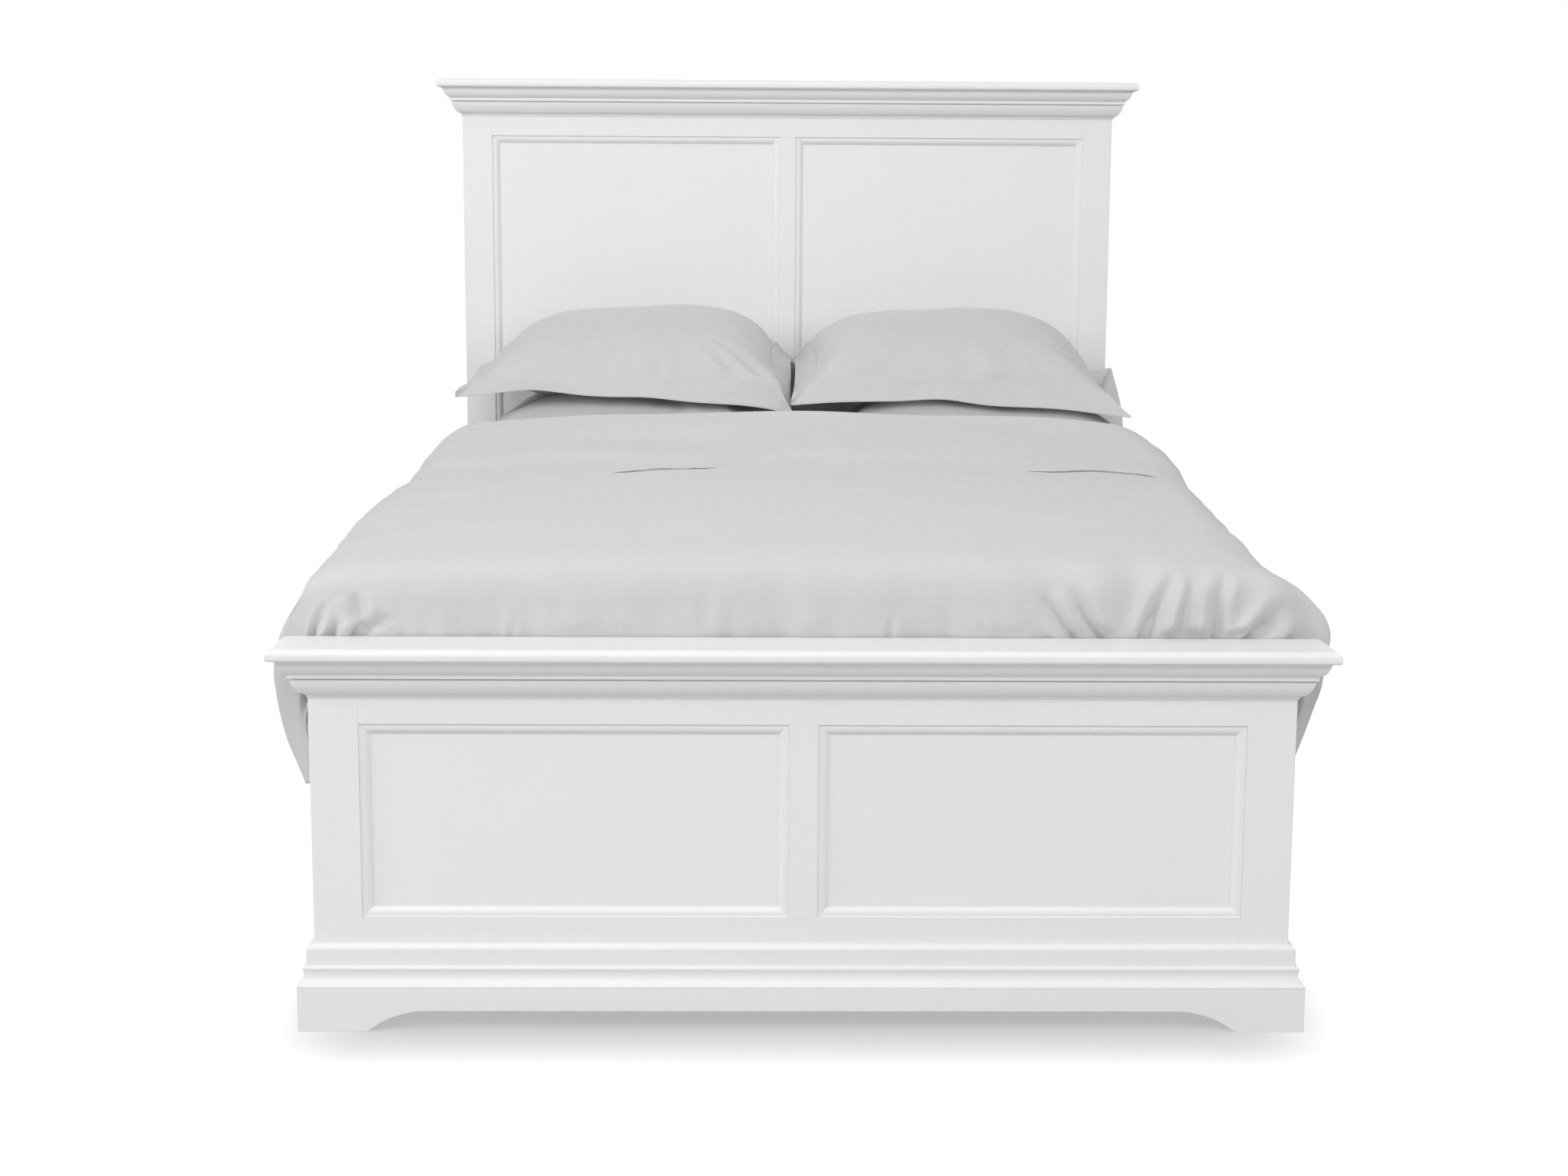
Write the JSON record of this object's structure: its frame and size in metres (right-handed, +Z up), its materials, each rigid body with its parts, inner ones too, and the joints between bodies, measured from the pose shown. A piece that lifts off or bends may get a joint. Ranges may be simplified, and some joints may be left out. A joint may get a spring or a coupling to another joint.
{
  "type": "double bed",
  "caption": "Painted panel bed with a tall headboard, moulded crowns, a footboard on bracket feet, side rails, slats, mattress set, duvet and flanged pillows.",
  "frame": {"origin": "on the floor, under the middle of the whole bed's box", "axes": "+X to the right seen from the foot, +Y from the foot to the head, +Z up"},
  "size_m": [1.7686, 2.241, 1.66],
  "materials": {
    "painted_wood": "satin",
    "bare_wood": "matte",
    "zinc_steel": "satin",
    "foot_plastic": "matte",
    "box_cover": "matte",
    "mattress_cover": "matte",
    "bed_linen": "matte",
    "duvet_linen": "matte",
    "pillow_linen": "matte"
  },
  "bodies": {
    "frame": {"headboard_left_post": "painted_wood", "headboard_right_post": "painted_wood", "headboard_top_rail": "painted_wood", "headboard_bottom_rail": "painted_wood", "headboard_centre_stile": "painted_wood", "headboard_left_panel": "painted_wood", "headboard_right_panel": "painted_wood", "headboard_left_panel_moulding": "painted_wood", "headboard_right_panel_moulding": "painted_wood", "headboard_cap": "painted_wood", "headboard_crown_moulding": "painted_wood", "headboard_bed_moulding": "painted_wood", "footboard_left_post": "painted_wood", "footboard_right_post": "painted_wood", "footboard_top_rail": "painted_wood", "footboard_bottom_rail": "painted_wood", "footboard_centre_stile": "painted_wood", "footboard_left_panel": "painted_wood", "footboard_right_panel": "painted_wood", "footboard_left_panel_moulding": "painted_wood", "footboard_right_panel_moulding": "painted_wood", "footboard_cap": "painted_wood", "footboard_crown_moulding": "painted_wood", "footboard_bed_moulding": "painted_wood", "footboard_base_moulding": "painted_wood", "footboard_plinth_front": "painted_wood", "footboard_left_plinth_return": "painted_wood", "footboard_right_plinth_return": "painted_wood", "left_side_rail": "painted_wood", "right_side_rail": "painted_wood", "left_ledger": "bare_wood", "right_ledger": "bare_wood", "cross_slat_1": "bare_wood", "cross_slat_2": "bare_wood", "cross_slat_3": "bare_wood", "cross_slat_4": "bare_wood", "cross_slat_5": "bare_wood", "centre_leg_1": "bare_wood", "centre_leg_2": "bare_wood", "centre_leg_3": "bare_wood", "rail_hook_plates": "zinc_steel", "post_slot_plates": "zinc_steel", "plate_screws": "zinc_steel", "ledger_screws": "zinc_steel", "slat_screws": "zinc_steel", "leg_bolts": "zinc_steel", "leg_thread_inserts": "zinc_steel", "headboard_glides": "foot_plastic"},
    "foot_1": {"levelling_foot_1": "foot_plastic"},
    "foot_2": {"levelling_foot_2": "foot_plastic"},
    "foot_3": {"levelling_foot_3": "foot_plastic"},
    "box_spring": {"box_spring": "box_cover"},
    "mattress": {"mattress": "mattress_cover", "fitted_sheet": "bed_linen"},
    "duvet": {"duvet": "duvet_linen"},
    "lower_left_pillow": {"lower_left_pillow": "pillow_linen"},
    "lower_right_pillow": {"lower_right_pillow": "pillow_linen"},
    "upper_left_pillow": {"upper_left_pillow": "pillow_linen"},
    "upper_right_pillow": {"upper_right_pillow": "pillow_linen"}
  },
  "joints": [
    {"name": "foot_1_level", "type": "slide", "parent": "frame", "child": "foot_1", "axis": [0, 0, 1], "range_m": [0, 0.012]},
    {"name": "foot_2_level", "type": "slide", "parent": "frame", "child": "foot_2", "axis": [0, 0, 1], "range_m": [0, 0.012]},
    {"name": "foot_3_level", "type": "slide", "parent": "frame", "child": "foot_3", "axis": [0, 0, 1], "range_m": [0, 0.012]},
    {"name": "box_spring_lift", "type": "slide", "parent": "frame", "child": "box_spring", "axis": [0, 0, 1], "range_m": [0, 0.3]},
    {"name": "mattress_lift", "type": "slide", "parent": "box_spring", "child": "mattress", "axis": [0, 0, 1], "range_m": [0, 0.3]},
    {"name": "duvet_lift", "type": "slide", "parent": "mattress", "child": "duvet", "axis": [0, 0, 1], "range_m": [0, 0.4]},
    {"name": "lower_left_pillow_lift", "type": "slide", "parent": "duvet", "child": "lower_left_pillow", "axis": [0, 0, 1], "range_m": [0, 0.25]},
    {"name": "lower_right_pillow_lift", "type": "slide", "parent": "duvet", "child": "lower_right_pillow", "axis": [0, 0, 1], "range_m": [0, 0.25]},
    {"name": "upper_left_pillow_lift", "type": "slide", "parent": "lower_left_pillow", "child": "upper_left_pillow", "axis": [0, 0, 1], "range_m": [0, 0.25]},
    {"name": "upper_right_pillow_lift", "type": "slide", "parent": "lower_right_pillow", "child": "upper_right_pillow", "axis": [0, 0, 1], "range_m": [0, 0.25]}
  ]
}
